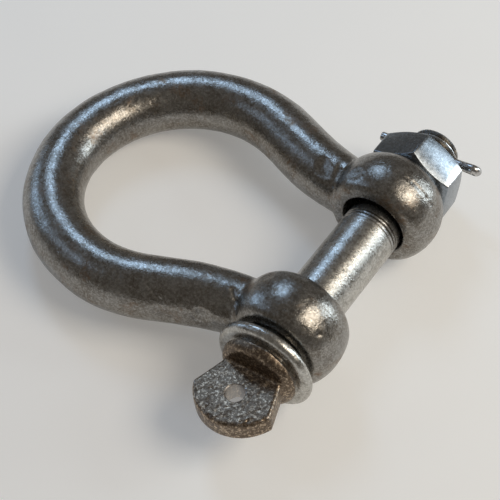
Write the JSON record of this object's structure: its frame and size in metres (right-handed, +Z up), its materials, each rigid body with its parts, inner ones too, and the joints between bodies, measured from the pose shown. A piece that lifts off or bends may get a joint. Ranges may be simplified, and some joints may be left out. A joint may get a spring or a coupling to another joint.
{
  "type": "bow shackle",
  "caption": "Galvanised bow shackle with a collared eye pin, a hexagon nut on its thread and a split pin through its end.",
  "frame": {"origin": "on the ground under the middle of the shackle's bounding box, as it lies flat on its two ears and its crown", "axes": "+Y along the pin from its eye tab to its nut, -X towards the bow's crown, +Z up"},
  "size_m": [0.1518, 0.1494, 0.0414],
  "materials": {
    "galvanised_forging": "weathered hot-dip galvanising on a drop forging, dull with a fine sparkle, slightly pitted, brown tinge",
    "galvanised_pin": "worn hot-dip galvanising: a smooth shank, a rough and pitted eye tab",
    "bright_zinc": "bright zinc plating, bluish, satin",
    "zinc_wire": "drawn and zinc-plated wire, glossy"
  },
  "bodies": {
    "bow": {"bow": "galvanised_forging"},
    "pin": {"pin": "galvanised_pin"},
    "nut": {"nut": "bright_zinc"},
    "split_pin": {"split_pin": "zinc_wire"}
  },
  "joints": [
    {"name": "nut_turn", "type": "hinge", "parent": "bow", "child": "nut", "pos_m": [0.0551, 0.0567, 0.01985], "axis": [0, 1, 0], "range_deg": [-361, 361]},
    {"name": "pin_travel", "type": "slide", "parent": "bow", "child": "pin", "axis": [0, 1, 0], "range_m": [-0.0025, 0.0025]},
    {"name": "split_pin_pull", "type": "slide", "parent": "pin", "child": "split_pin", "axis": [0.9903, 0, 0.1392], "range_m": [0, 0.0345]}
  ],
  "couplings": [
    {"joint": "nut_turn", "follows": "pin_travel", "rad_per_m": -2513.3}
  ]
}
